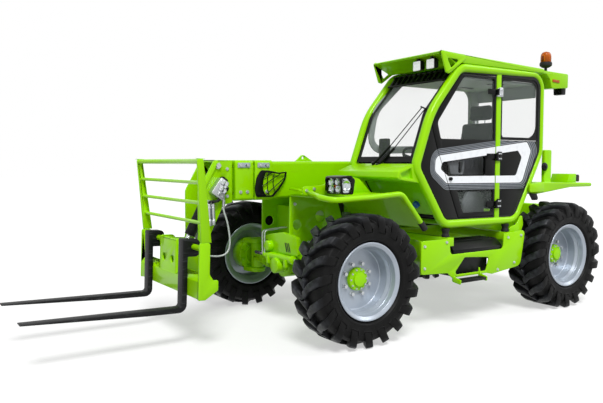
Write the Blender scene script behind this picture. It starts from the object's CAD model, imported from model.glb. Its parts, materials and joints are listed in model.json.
"""Looks of the compact telehandler: paint, glass, tyres, cab fittings, hose and studio, built round its CAD frame."""

import json
from math import atan2, cos, pi, radians, sin, tan

import bmesh
import bpy
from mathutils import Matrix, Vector


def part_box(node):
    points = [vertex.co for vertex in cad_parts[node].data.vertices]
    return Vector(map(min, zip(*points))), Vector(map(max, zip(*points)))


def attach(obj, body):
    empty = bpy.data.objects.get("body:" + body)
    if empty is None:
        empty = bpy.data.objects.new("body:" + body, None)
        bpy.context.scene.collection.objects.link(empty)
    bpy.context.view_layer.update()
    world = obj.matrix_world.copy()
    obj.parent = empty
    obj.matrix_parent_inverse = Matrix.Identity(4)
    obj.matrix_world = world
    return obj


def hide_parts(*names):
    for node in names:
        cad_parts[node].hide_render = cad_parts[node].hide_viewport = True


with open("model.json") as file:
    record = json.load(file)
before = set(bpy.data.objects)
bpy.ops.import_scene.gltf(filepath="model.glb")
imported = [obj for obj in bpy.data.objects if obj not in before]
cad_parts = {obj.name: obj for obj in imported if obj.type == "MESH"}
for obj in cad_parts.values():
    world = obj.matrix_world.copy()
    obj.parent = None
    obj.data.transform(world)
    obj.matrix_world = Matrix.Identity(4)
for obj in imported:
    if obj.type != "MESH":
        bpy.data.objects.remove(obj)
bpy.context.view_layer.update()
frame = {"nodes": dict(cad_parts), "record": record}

bl_info = {
    "name": "Telehandler Dresser",
    "version": (1, 0, 0),
    "blender": (4, 5, 0),
    "location": "View3D > Sidebar > Telehandler",
    "description": "Builds the visible pieces of a compact telehandler round its CAD frame",
    "category": "Object",
}

NODES = frame["nodes"]
BODY_OF = {node: body for body, nodes in frame["record"]["behaviour"]["bodies"].items() for node in nodes}

# Where the front axle, from which the machine is measured, lies in the frame of the part
AXLE_X = ((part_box("tyre_fl")[0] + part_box("tyre_fr")[1]) / 2).x


def at(x, y, z):
    """A point measured from the front axle, the machine's middle and the ground."""
    return Vector((AXLE_X + x, y, z))


# Materials

NOISE, WAVE, CELLS = "ShaderNodeTexNoise", "ShaderNodeTexWave", "ShaderNodeTexVoronoi"
RANGE, MIX, MATH, BUMP = "ShaderNodeMapRange", "ShaderNodeMix", "ShaderNodeMath", "ShaderNodeBump"
SHADER = "ShaderNodeBsdfPrincipled"
COLOURS = {"data_type": "RGBA"}


def linear(code):
    """Linear colour of an sRGB hex code."""
    channels = [int(code[i : i + 2], 16) / 255 for i in (1, 3, 5)]
    return [c / 12.92 if c <= 0.04045 else ((c + 0.055) / 1.055) ** 2.4 for c in channels] + [1.0]


def add(tree, kind, settings=None, **inputs):
    """A new node with its settings, and each input, by name or number, set to a value or linked to a socket or node."""
    node = tree.nodes.new(kind)
    for name, value in (settings or {}).items():
        setattr(node, name, value)
    for name, value in inputs.items():
        socket = node.inputs[int(name[1:])] if name[1:].isdigit() else node.inputs[name.replace("_", " ")]
        if isinstance(value, bpy.types.Node):
            value = value.outputs.get("Fac") or next(output for output in value.outputs if output.enabled)
        if isinstance(value, bpy.types.NodeSocket):
            tree.links.new(value, socket)
        else:
            socket.default_value = value
    return node


def made_by(maker):
    """A material named for its maker, which gets the tree and the object coordinates and gives the shader."""
    made = bpy.data.materials.new(maker.__name__)
    made.use_nodes = True
    tree = made.node_tree
    tree.nodes.clear()
    place = tree.nodes.new("ShaderNodeTexCoord").outputs["Object"]
    add(tree, "ShaderNodeOutputMaterial", Surface=maker(tree, place))
    return made


def surface(tree, place, tone=None, rough=None, relief=None, **inputs):
    """A shader with patterned inputs: two colours, two roughnesses, a relief's depth and strength, each followed by a
    texture, or by the width in metres and the detail of a noise."""
    for name, given in (("Base_Color", tone), ("Roughness", rough), ("Normal", relief)):
        if not given:
            continue
        low, high, spots, *detail = given
        if detail:
            spots = add(tree, NOISE, Vector=place, Scale=1 / spots, Detail=detail[0])
        if name == "Base_Color":
            inputs[name] = add(tree, MIX, COLOURS, i0=spots, i6=linear(low), i7=linear(high))
        elif name == "Roughness":
            inputs[name] = add(tree, RANGE, Value=spots, To_Min=low, To_Max=high)
        else:
            inputs[name] = add(tree, BUMP, Height=spots, Distance=low, Strength=high)
    return add(tree, SHADER, **inputs)


def lime_powder_coat(tree, place):
    """Polyester powder coat baked on steel: glossy lime, a fine orange peel and a slight cloudiness of the colour."""
    # the real peel is about 1 mm wide and is drawn at 5 mm so that it shows
    return surface(tree, place, ("#8ECF00", "#98DA00", 0.35, 3), (0.26, 0.4, 0.04, 2), (0.0002, 0.35, 0.005, 1),
                   Specular_IOR_Level=0.08, Coat_Weight=0.35, Coat_Roughness=0.06, Coat_IOR=1.36)


def black_abs(tree, place):
    """Moulded black ABS panel: deep black with a soft sheen and a faint grain."""
    return surface(tree, place, ("#060707", "#0B0C0C", 0.2, 3), (0.28, 0.4, 0.05, 2), (0.0001, 0.3, 0.003, 2),
                   Specular_IOR_Level=0.16)


def tyre_rubber(tree, place):
    """Vulcanised tyre rubber: black, rubbed to a shiny dark grey on the lugs' faces, with a fine mould texture."""
    dust = add(tree, NOISE, Vector=place, Scale=1 / 0.05, Detail=4)
    patches = add(tree, RANGE, Value=dust, From_Min=0.35, From_Max=0.65, To_Min=0.25, To_Max=1.0)
    tread = add(tree, "ShaderNodeAttribute", {"attribute_name": "tread"})
    rubbed = add(tree, MATH, {"operation": "MULTIPLY"}, i0=tread, i1=patches)
    return surface(tree, place, ("#040404", "#35373B", rubbed), (0.5, 0.3, rubbed), (0.0004, 0.5, 0.004, 3),
                   Specular_IOR_Level=0.14)


def silver_wheel_lacquer(tree, place):
    """Aluminium-flake lacquer on pressed steel: silver-grey with a satin shine."""
    return surface(tree, place, ("#969FAA", "#AEB6C0", 0.12, 3), (0.24, 0.36, 0.003, 1), (0.0001, 0.25, 0.003, 1),
                   Metallic=0.35)


def worn_black_steel(tree, place):
    """Forged steel under thin black lacquer: dull black, rubbed to grey in streaks along the tines."""
    along = add(tree, "ShaderNodeMapping", Vector=place, Scale=(0.12, 1.0, 1.0))
    streak = add(tree, NOISE, Vector=along, Scale=1 / 0.012, Detail=4)
    worn = add(tree, RANGE, Value=streak, From_Min=0.55, From_Max=0.8)
    return surface(tree, place, ("#0D0E0F", "#404244", worn), (0.38, 0.6, streak), (0.0003, 0.4, 0.006, 3),
                   Specular_IOR_Level=0.2)


def chromed_rod(tree, place):
    """Hard-chromed ground steel: bright, with fine grinding marks."""
    return surface(tree, place, rough=(0.12, 0.24, 0.004, 2), Base_Color=linear("#D4D7DA"), Metallic=1.0)


def zinc_plate(tree, place):
    """Zinc-plated steel: pale grey metal with a cloudy passivation."""
    return surface(tree, place, ("#A9ADB0", "#D3D6D8", 0.015, 4), (0.28, 0.45, 0.015, 4), (0.0002, 0.4, 0.004, 2),
                   Metallic=0.85)


def mount_rubber(tree, place):
    """Moulded black rubber: matt, slightly blotched."""
    return surface(tree, place, ("#101010", "#1C1C1D", 0.02, 3), (0.55, 0.75, 0.02, 3), Specular_IOR_Level=0.3)


def engine_iron(tree, place):
    """Cast iron under dark grey engine enamel: sandy surface."""
    return surface(tree, place, ("#2B2D2F", "#3C3F41", 0.006, 4), (0.5, 0.7, 0.006, 4), (0.0006, 0.6, 0.006, 4))


def seat_cloth(tree, place):
    """Woven polyester seat cloth: charcoal threads 3 mm apart, drawn coarse so that they show."""
    weft = add(tree, WAVE, {"bands_direction": "Z"}, Vector=place, Scale=105.0, Distortion=0.6)
    warp = add(tree, WAVE, {"bands_direction": "Y"}, Vector=place, Scale=105.0, Distortion=0.6)
    thread = add(tree, MATH, {"operation": "MULTIPLY"}, i0=weft, i1=warp)
    return surface(tree, place, ("#0E0F10", "#1E2022", thread), (0.8, 0.95, thread), (0.0008, 0.6, thread),
                   Sheen_Weight=0.05, Specular_IOR_Level=0.2)


def tempered_glass(tree, place):
    """Tempered float glass: clear, with the faint green of its iron and a slight roller wave."""
    return surface(tree, place, ("#B9C8C0", "#C4D0CA", 0.3, 1), relief=(0.0005, 0.1, 0.3, 1), Roughness=0.02,
                   Alpha=0.05, Specular_IOR_Level=0.6)


def smoked_glass(tree, place):
    """Tempered glass with a dark film: thin enough to see through, black, glossy, with a slight roller wave."""
    return surface(tree, place, ("#050606", "#0A0B0B", 0.3, 1), relief=(0.0005, 0.1, 0.3, 1), Roughness=0.02,
                   Alpha=0.25, Specular_IOR_Level=0.3)


def lamp_glass(tree, place):
    """Moulded polycarbonate lens: clear with fine flutes."""
    flute = add(tree, WAVE, {"bands_direction": "Y"}, Vector=place, Scale=60.0)
    return surface(tree, place, ("#EEF1F2", "#FAFBFB", 0.05, 2), relief=(0.001, 0.4, flute), Roughness=0.08,
                   Metallic=0.3)


def clear_lens(tree, place):
    """Moulded polycarbonate cover of a lamp: clear, with the faint ripple of the mould."""
    return surface(tree, place, ("#EDF1F3", "#FBFCFC", 0.03, 1), relief=(0.0005, 0.2, 0.03, 1), Roughness=0.02,
                   IOR=1.2, Transmission_Weight=1.0)


def amber_lens(tree, place):
    """Moulded amber polycarbonate: deep orange with upright flutes."""
    flute = add(tree, WAVE, {"bands_direction": "X"}, Vector=place, Scale=45.0)
    return surface(tree, place, ("#7C2E00", "#D06A08", flute), relief=(0.001, 0.5, flute), Roughness=0.25,
                   Specular_IOR_Level=0.15, Coat_Weight=0.1)


def red_lens(tree, place):
    """Moulded red polycarbonate: deep red with upright flutes."""
    flute = add(tree, WAVE, {"bands_direction": "Y"}, Vector=place, Scale=45.0)
    return surface(tree, place, ("#8E0808", "#C01212", flute), relief=(0.001, 0.5, flute), Roughness=0.15,
                   Coat_Weight=0.4)


def white_film(tree, place):
    """Printed vinyl film on the door: cold white with a soft sheen and faint dirt."""
    dirt = add(tree, NOISE, Vector=place, Scale=1 / 0.06, Detail=4)
    soil = add(tree, RANGE, Value=dirt, From_Min=0.5, From_Max=0.9)
    return surface(tree, place, ("#EEF1F5", "#D9DDE2", soil), (0.25, 0.4, dirt), (0.0001, 0.3, 0.004, 2))


def grey_film(tree, place):
    """Printed vinyl film: mid grey lines round the white band, with a soft sheen."""
    return surface(tree, place, ("#6E747C", "#8A9097", 0.05, 3), (0.3, 0.45, 0.05, 3))


def grey_lining(tree, place):
    """Moulded polypropylene cab lining: warm mid grey with a leather grain of 5 mm cells."""
    cell = add(tree, CELLS, Vector=place, Scale=220.0)
    return surface(tree, place, ("#8C9391", "#9CA3A0", 0.25, 3), (0.5, 0.65, cell), (0.0006, 0.5, cell),
                   Specular_IOR_Level=0.35)


def pale_moulding(tree, place):
    """Moulded grey polypropylene of the floor and levers: lighter and smoother than the lining."""
    return surface(tree, place, ("#8F959A", "#AEB3B8", 0.03, 4), (0.3, 0.5, 0.03, 4), (0.0003, 0.3, 0.03, 4))


def hose_rubber(tree, place):
    """Hydraulic hose in a braided grey sleeve: fine diagonal threads, satin."""
    braid = add(tree, WAVE, {"bands_direction": "DIAGONAL"}, Vector=place, Scale=90.0, Distortion=1.0)
    return surface(tree, place, ("#9AA09E", "#C9CECC", braid), (0.4, 0.55, braid), (0.0008, 0.5, braid))


def blue_cap(tree, place):
    """Moulded blue polyethylene cap: saturated blue, waxy."""
    return surface(tree, place, ("#1650C8", "#2468E0", 0.01, 3), (0.35, 0.5, 0.01, 3))


# Each finish: the slot of the record that it belongs to, and its maker
MAKERS = {
    "lime": ("green_paint", lime_powder_coat),
    "black": ("black_plastic", black_abs),
    "white_film": ("black_plastic", white_film),
    "grey_film": ("black_plastic", grey_film),
    "lining": ("grey_plastic", grey_lining),
    "pale": ("grey_plastic", pale_moulding),
    "tyre": ("tyre_rubber", tyre_rubber),
    "silver": ("rim_paint", silver_wheel_lacquer),
    "fork": ("black_steel", worn_black_steel),
    "chrome": ("bright_rod", chromed_rod),
    "zinc": ("zinc_steel", zinc_plate),
    "rubber": ("mount_rubber", mount_rubber),
    "iron": ("engine_metal", engine_iron),
    "cloth": ("seat_cloth", seat_cloth),
    "glass": ("clear_glass", tempered_glass),
    "smoked": ("clear_glass", smoked_glass),
    "led": ("lamp_lens", lamp_glass),
    "lens": ("lamp_lens", clear_lens),
    "red": ("lamp_lens", red_lens),
    "amber": ("amber_lens", amber_lens),
    "hose": ("hose_rubber", hose_rubber),
    "blue": ("black_plastic", blue_cap),
}
# The finish that a CAD node's slot wears: the first one listed for it
SLOT_FINISH = {slot: name for name, (slot, _) in reversed(MAKERS.items())}
FINISHES = {}


def finish(name):
    """A finish's material, made once."""
    if name not in FINISHES:
        FINISHES[name] = made_by(MAKERS[name][1])
    return FINISHES[name]


# Outlines and solids


def rounded(points, n=6):
    """Outline through (a, b, radius) corners, each rounded by its radius."""
    outline = []
    for i, (a, b, *radius) in enumerate(points):
        here, before, after = Vector((a, b)), Vector(points[i - 1][:2]), Vector(points[(i + 1) % len(points)][:2])
        r = radius[0] if radius else 0
        if not r:
            outline.append((a, b))
            continue
        u, v = (before - here).normalized(), (after - here).normalized()
        half = u.angle(v) / 2
        middle = here + (u + v).normalized() * r / sin(half)
        start, end = here + u * r / tan(half) - middle, here + v * r / tan(half) - middle
        first = atan2(start.y, start.x)
        sweep = (atan2(end.y, end.x) - first + pi) % (2 * pi) - pi
        for k in range(n + 1):
            turn = first + sweep * k / n
            outline.append((middle.x + r * cos(turn), middle.y + r * sin(turn)))
    return outline


def oblong(low_a, low_b, high_a, high_b, r):
    """The corners of an upright rectangle, each with one radius."""
    return [(low_a, low_b, r), (high_a, low_b, r), (high_a, high_b, r), (low_a, high_b, r)]


def circle(count, start=0):
    """Directions spread evenly round a circle of the side view, from an angle in degrees."""
    turns = [radians(start + 360 * k / count) for k in range(count)]
    return [Vector((cos(turn), 0, sin(turn))) for turn in turns]


def inset(points, depth, least=0.01):
    """A convex outline of (a, b, radius) corners moved in."""
    moved = []
    for i, (a, b, r) in enumerate(points):
        here, before, after = Vector((a, b)), Vector(points[i - 1][:2]), Vector(points[(i + 1) % len(points)][:2])
        u, v = (before - here).normalized(), (after - here).normalized()
        corner = here + (u + v).normalized() * depth / sin(u.angle(v) / 2)
        moved.append((corner.x, corner.y, max(r - depth, least)))
    return moved


def bent(corners, n=8):
    """Line through (x, y, z, radius) corners from the front axle, each rounded by its radius."""
    line = []
    for i, (x, y, z, r) in enumerate(corners):
        here = at(x, y, z)
        if not r:
            line.append(here)
            continue
        u = (at(*corners[i - 1][:3]) - here).normalized()
        v = (at(*corners[(i + 1) % len(corners)][:3]) - here).normalized()
        half = u.angle(v) / 2
        middle = here + (u + v).normalized() * r / sin(half)
        start, end = here + u * r / tan(half) - middle, here + v * r / tan(half) - middle
        for k in range(n + 1):
            line.append(middle + start.slerp(end, k / n) * r)
    return line


PLACES = {"y": lambda a, b, c: at(a, c, b), "x": lambda a, b, c: at(c, a, b), "z": lambda a, b, c: at(a, b, c)}


def slab(bm, outline, low, high, across="y"):
    """Add a rounded outline with a thickness: of the side view across y, the front view across x, the plan across z."""
    outline = rounded(outline)
    rings = [[bm.verts.new(PLACES[across](a, b, c)) for a, b in outline] for c in (low, high)]
    bm.faces.new(rings[0])
    bm.faces.new(rings[1][::-1])
    for i in range(len(outline)):
        bm.faces.new((rings[0][i - 1], rings[1][i - 1], rings[1][i], rings[0][i]))
    return bm


def block(bm, low, high):
    """Add a box between two corners measured from the front axle."""
    return slab(bm, [(low[0], low[2]), (high[0], low[2]), (high[0], high[2]), (low[0], high[2])], low[1], high[1])


def tube(bm, line, radius, sides=16, closed=False, power=2.0):
    """Add a tube along a line, of one radius or one for each point: round, or squarer with a higher power."""
    count = len(line)
    radii = radius if isinstance(radius, list) else [radius] * count
    ways = []
    for i in range(count):
        ahead = line[(i + 1) % count] if closed or i < count - 1 else line[i]
        behind = line[i - 1] if closed or i else line[i]
        ways.append((ahead - behind).normalized())
    across = ways[0].orthogonal().normalized()
    if abs(ways[0].y) < 0.9:
        across = ways[0].cross(Vector((0, 1, 0))).normalized()
    rings = []
    for here, way, radius in zip(line, ways, radii):
        across = (across - way * across.dot(way)).normalized()
        beside = way.cross(across)
        ring = []
        for k in range(sides):
            turn = 2 * pi * k / sides
            c, s = cos(turn), sin(turn)
            reach = radius / (abs(c) ** power + abs(s) ** power) ** (1 / power)
            ring.append(bm.verts.new(here + (across * c + beside * s) * reach))
        rings.append(ring)
    for i in range(count if closed else count - 1):
        first, second = rings[i], rings[(i + 1) % count]
        for k in range(sides):
            bm.faces.new((first[k - 1], first[k], second[k], second[k - 1]))
    if not closed:
        bm.faces.new(rings[0])
        bm.faces.new(rings[-1][::-1])
    return bm


def turned(bm, profile, base, axis, sides=32, closed=False):
    """Add a body turned from a profile of (radius, height) about an axis, or a ring where the profile is closed."""
    way = Vector(axis).normalized()
    across = way.orthogonal().normalized()
    beside = way.cross(across)
    rings = []
    for r, h in profile:
        if r < 1e-6:
            rings.append([bm.verts.new(base + way * h)])
            continue
        rings.append([
            bm.verts.new(base + way * h + (across * cos(2 * pi * k / sides) + beside * sin(2 * pi * k / sides)) * r)
            for k in range(sides)
        ])
    for first, second in zip(rings, rings[1:] + rings[:1] if closed else rings[1:]):
        for k in range(sides):
            around = [first[k - 1], first[k]] if len(first) > 1 else [first[0]]
            around += [second[k], second[k - 1]] if len(second) > 1 else [second[0]]
            bm.faces.new(around)
    for ring in () if closed else (rings[0], rings[-1]):
        if len(ring) > 1:
            bm.faces.new(ring)
    return bm


def joined(whole, part):
    """Add another bmesh's pieces, and free it."""
    mesh = bpy.data.meshes.new("work")
    part.to_mesh(mesh)
    part.free()
    whole.from_mesh(mesh)
    bpy.data.meshes.remove(mesh)
    return whole


def mirrored(bm):
    """Add the same pieces on the machine's other side."""
    copy = bmesh.ops.duplicate(bm, geom=bm.verts[:] + bm.edges[:] + bm.faces[:])["geom"]
    for vert in (part for part in copy if isinstance(part, bmesh.types.BMVert)):
        vert.co.y = -vert.co.y
    return bm


# Making pieces

# Points nearer than this are one point, and edges sharper than this angle get rounded
JOIN = 2e-5
SHARP = radians(38)


def placed(name, bm, look, body, stands_for, angle=35):
    """An object from a bmesh: smooth up to an angle, in its finish, riding on its body."""
    mesh = bpy.data.meshes.new(name)
    bm.to_mesh(mesh)
    bm.free()
    mesh.polygons.foreach_set("use_smooth", [True] * len(mesh.polygons))
    mesh.set_sharp_from_angle(angle=radians(angle))
    mesh.materials.append(finish(look))
    obj = bpy.data.objects.new(name, mesh)
    bpy.context.scene.collection.objects.link(obj)
    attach(obj, body)
    if stands_for:
        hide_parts(*stands_for)
    return obj


def piece(name, bm, look, body, stands_for=(), angle=35, edge=0.0, segments=2):
    """A piece from a bmesh, with its points joined, its normals out and its edges rounded."""
    bmesh.ops.remove_doubles(bm, verts=bm.verts, dist=JOIN)
    bmesh.ops.recalc_face_normals(bm, faces=bm.faces)
    if edge:
        bm = applied(bm, "BEVEL", width=edge, segments=segments, limit_method="ANGLE", angle_limit=SHARP)
    return placed(name, bm, look, body, stands_for, angle)


def evaluated(obj):
    """The bmesh of an object with its modifiers, and the object removed."""
    source = obj.data
    done = bpy.data.meshes.new_from_object(obj.evaluated_get(bpy.context.evaluated_depsgraph_get()))
    bpy.data.objects.remove(obj)
    bpy.data.meshes.remove(source)
    made = bmesh.new()
    made.from_mesh(done)
    bpy.data.meshes.remove(done)
    return made


def work_object(bm):
    """A loose object for modifiers to work on."""
    mesh = bpy.data.meshes.new("work")
    bm.to_mesh(mesh)
    bm.free()
    obj = bpy.data.objects.new("work", mesh)
    bpy.context.scene.collection.objects.link(obj)
    return obj


def applied(bm, kind, **settings):
    """The bmesh after one modifier."""
    obj = work_object(bm)
    modifier = obj.modifiers.new("work", kind)
    for name, value in settings.items():
        setattr(modifier, name, value)
    return evaluated(obj)


def cut(bm, tool):
    """The bmesh less another one."""
    for solid in (bm, tool):
        bmesh.ops.recalc_face_normals(solid, faces=solid.faces)
    cutter = work_object(tool)
    made = applied(bm, "BOOLEAN", object=cutter, operation="DIFFERENCE", solver="EXACT")
    mesh = cutter.data
    bpy.data.objects.remove(cutter)
    bpy.data.meshes.remove(mesh)
    return made


def node_mesh(node):
    """A copy of a CAD node with its triangles joined to plain faces."""
    bm = bmesh.new()
    bm.from_mesh(NODES[node].data)
    bmesh.ops.remove_doubles(bm, verts=bm.verts, dist=JOIN)
    bmesh.ops.dissolve_limit(bm, angle_limit=radians(0.5), verts=bm.verts, edges=bm.edges)
    return bm


def look_of(node):
    """The finish that a CAD node wears."""
    return SLOT_FINISH[NODES[node].data.materials[0].name]


def softened(node, width):
    """A CAD node's own form with its sharp edges rounded."""
    bm = applied(node_mesh(node), "BEVEL", width=width, segments=2, limit_method="ANGLE", angle_limit=SHARP,
                 use_clamp_overlap=False)
    return placed(node + "_soft", bm, look_of(node), BODY_OF[node], (node,))


def coated(*nodes):
    """Give CAD nodes that keep their mesh their finish."""
    for node in nodes:
        NODES[node].data.materials[0] = finish(look_of(node))


def bolt_tree():
    """Geometry nodes that set a washer and a hexagon head on each point, along its aim and at its size."""
    tree = bpy.data.node_groups.new("bolts", "GeometryNodeTree")
    tree.is_modifier = True
    tree.interface.new_socket("Points", in_out="INPUT", socket_type="NodeSocketGeometry")
    tree.interface.new_socket("Head", in_out="INPUT", socket_type="NodeSocketFloat")
    tree.interface.new_socket("Coat", in_out="INPUT", socket_type="NodeSocketMaterial")
    tree.interface.new_socket("Bolts", in_out="OUTPUT", socket_type="NodeSocketGeometry")
    given = add(tree, "NodeGroupInput")
    washer = add(tree, "GeometryNodeMeshCylinder", Vertices=20, Radius=0.62, Depth=0.16)
    head = add(tree, "GeometryNodeMeshCylinder", Vertices=6, Radius=0.5, Depth=given.outputs["Head"])
    half = add(tree, "ShaderNodeMath", {"operation": "MULTIPLY"}, i0=given.outputs["Head"], i1=0.5)
    lift = add(tree, "ShaderNodeCombineXYZ", Z=half.outputs["Value"])
    raise_head = add(tree, "GeometryNodeTransform", Geometry=head.outputs["Mesh"], Translation=lift.outputs["Vector"])
    both = add(tree, "GeometryNodeJoinGeometry")
    tree.links.new(washer.outputs["Mesh"], both.inputs[0])
    tree.links.new(raise_head.outputs["Geometry"], both.inputs[0])
    aim = add(tree, "GeometryNodeInputNamedAttribute", {"data_type": "FLOAT_VECTOR"}, Name="aim")
    size = add(tree, "GeometryNodeInputNamedAttribute", {"data_type": "FLOAT"}, Name="size")
    turn = add(tree, "FunctionNodeAlignRotationToVector", {"axis": "Z"}, Vector=aim.outputs["Attribute"])
    put = add(tree, "GeometryNodeInstanceOnPoints", Points=given.outputs["Points"], Instance=both.outputs[0],
              Rotation=turn.outputs["Rotation"], Scale=size.outputs["Attribute"])
    real = add(tree, "GeometryNodeRealizeInstances", Geometry=put.outputs["Instances"])
    coat = add(tree, "GeometryNodeSetMaterial", Geometry=real.outputs["Geometry"], Material=given.outputs["Coat"])
    result = add(tree, "NodeGroupOutput")
    tree.links.new(coat.outputs["Geometry"], result.inputs[0])
    return tree


def bolts(name, tree, places, look, body, head=0.5):
    """Bolts of one body, each at a (point, aim, size)."""
    mesh = bpy.data.meshes.new(name)
    mesh.from_pydata([point for point, _, _ in places], [], [])
    aims = mesh.attributes.new("aim", "FLOAT_VECTOR", "POINT")
    aims.data.foreach_set("vector", [value for _, aim, _ in places for value in aim])
    sizes = mesh.attributes.new("size", "FLOAT", "POINT")
    sizes.data.foreach_set("value", [size for _, _, size in places])
    obj = bpy.data.objects.new(name, mesh)
    bpy.context.scene.collection.objects.link(obj)
    modifier = obj.modifiers.new(name, "NODES")
    modifier.node_group = tree
    given = {"Head": head, "Coat": finish(look)}
    for item in tree.interface.items_tree:
        if item.in_out == "INPUT" and item.name in given:
            modifier[item.identifier] = given[item.name]
    return piece(name, evaluated(obj), look, body, angle=30)


# The machine's own measures, in metres from the front axle, the middle and the ground
CAB_RING = [(-0.985, 0.94, 0.18), (-0.605, 1.51, 0.16), (-0.8, 2.04, 0.8), (-1.185, 2.49, 0.22),
            (-2.47, 2.49, 0.18), (-2.47, 1.655, 0.25), (-2.06, 0.94, 0.2)]
# The tubes' radius, and the slimmer one that they reach over a length behind the pillar
CAB_TUBE = 0.04
REAR_TUBE = 0.027
SLIM_FROM, SLIM_LENGTH = -1.75, 0.45
# The rubber seal's outer and inner edge, inside the tubes' outline
SEAL = (0.03, 0.0855)
CAB_SIDES = (1.012, 0.113)
COWL = [(-0.655, 1.55, 0.01), (-0.445, 1.478, 0.015), (-0.43, 1.42, 0.015), (-0.47, 1.405, 0.015),
        (-0.7, 1.372, 0.01)]
DOOR_FACE = 1.025
BAND_OUTER = [(-0.93, 1.622, 0.06), (-2.205, 1.769, 0.03), (-2.273, 1.68, 0.05), (-2.135, 1.352, 0.07),
              (-1.04, 1.364, 0.04), (-0.885, 1.48, 0.05), (-0.893, 1.585, 0.06)]
BAND_INNER = [(-0.985, 1.563, 0.03), (-2.065, 1.679, 0.03), (-2.128, 1.612, 0.03), (-2.04, 1.425, 0.04),
              (-1.06, 1.43, 0.03), (-0.955, 1.5, 0.03)]
PILLAR = (-1.79, -1.725)
HINGES = (1.149, 1.62, 2.25)
BOOM_SIDE = 0.02
NOSE_SIDE = -0.005
WHEELS = {"fl": (0.0, 1), "fr": (0.0, -1), "rl": (-2.745, 1), "rr": (-2.745, -1)}
TRACK_HALF = 1.0
AXLE_Z = 0.565
OUT = Vector((0, 1, 0))
AHEAD = Vector((1, 0, 0))
UP = Vector((0, 0, 1))


class DRESS_OT_hose(bpy.types.Operator):
    """Lay the loose hydraulic hose at the boom's head"""

    bl_idname = "dress.hose"
    bl_label = "Loose hose"

    ROUTE = [
        (0.782, 0.04, 1.16), (0.782, 0.04, 1.13), (0.773, 0.041, 1.095), (0.759, 0.042, 1.055),
        (0.746, 0.043, 1.01), (0.737, 0.044, 0.965), (0.73, 0.045, 0.92), (0.725, 0.046, 0.875),
        (0.724, 0.047, 0.835), (0.728, 0.048, 0.795), (0.739, 0.048, 0.76), (0.758, 0.047, 0.735),
        (0.784, 0.046, 0.72), (0.814, 0.044, 0.713), (0.846, 0.041, 0.711), (0.878, 0.037, 0.713),
        (0.909, 0.031, 0.718), (0.937, 0.024, 0.724), (0.96, 0.0155, 0.729), (0.974, 0.0082, 0.7315),
        (0.983, 0.002, 0.733),
    ]
    DIAMETER = 0.016
    STEPS = 6

    def execute(self, context):
        points = [at(*point) for point in self.ROUTE]
        line = []
        for i in range(len(points) - 1):
            a, b, c, d = (points[max(i - 1, 0)], points[i], points[i + 1], points[min(i + 2, len(points) - 1)])
            for k in range(self.STEPS):
                t = k / self.STEPS
                square, cube = 2 * a - 5 * b + 4 * c - d, 3 * b - a - 3 * c + d
                line.append(0.5 * (2 * b + (c - a) * t + square * t ** 2 + cube * t ** 3))
        line.append(points[-1])
        hose = piece("loose_hose", tube(bmesh.new(), line, self.DIAMETER / 2, 16), "hose", "boom_nose", ("hose",))
        return {"FINISHED"}


class DRESS_OT_plates(bpy.types.Operator):
    """Round the edges of the plates, castings and mouldings that keep their CAD form, and open the door's panel"""

    bl_idname = "dress.plates"
    bl_label = "Plates and castings"

    # Width of each node's rounded edges
    SOFT = {
        "chassis_frame": 0.004, "counterweight": 0.012, "front_axle": 0.008, "rear_axle": 0.008, "engine_block": 0.01,
        "side_skirt": 0.003, "steps": 0.004, "rear_fenders": 0.005, "cab_roof": 0.006, "cab_floor": 0.003,
        "cab_panels": 0.004, "cab_trim": 0.01, "dashboard": 0.012, "engine_hood": 0.004,
        "boom_outer": 0.004, "boom_mid": 0.004, "boom_inner": 0.004, "valve_block": 0.003, "carriage": 0.004,
        "forks": 0.005, "lift_barrel": 0.004, "tilt_barrel": 0.004, "knuckle_fl": 0.006, "knuckle_fr": 0.006,
        "knuckle_rl": 0.006, "knuckle_rr": 0.006, "tow_hitch": 0.004,
        "load_guard": 0.004, "lift_rod": 0.002, "tilt_rod": 0.002,
    }

    def execute(self, context):
        for node, width in self.SOFT.items():
            softened(node, width)
        self.door()
        coated("cab_glass", "door_glass", "steering_wheel", *("rim_" + name for name in WHEELS))
        return {"FINISHED"}

    def door(self):
        """The door's panel, open inside the band, and the dark pane that closes it."""
        sight = [BAND_INNER[0], (-1.585, 1.627, 0.03), (-1.585, 1.4275, 0.03), *BAND_INNER[4:]]
        opening = slab(bmesh.new(), inset(sight, 0.006), 0.95, 1.06)
        frame_mesh = cut(node_mesh("door_frame"), opening)
        piece("door_panel", frame_mesh, "black", "door", ("door_frame",), edge=0.003)
        piece("door_pane", slab(bmesh.new(), inset(sight, 0.0065), 1.009, 1.013), "smoked", "door")


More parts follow.
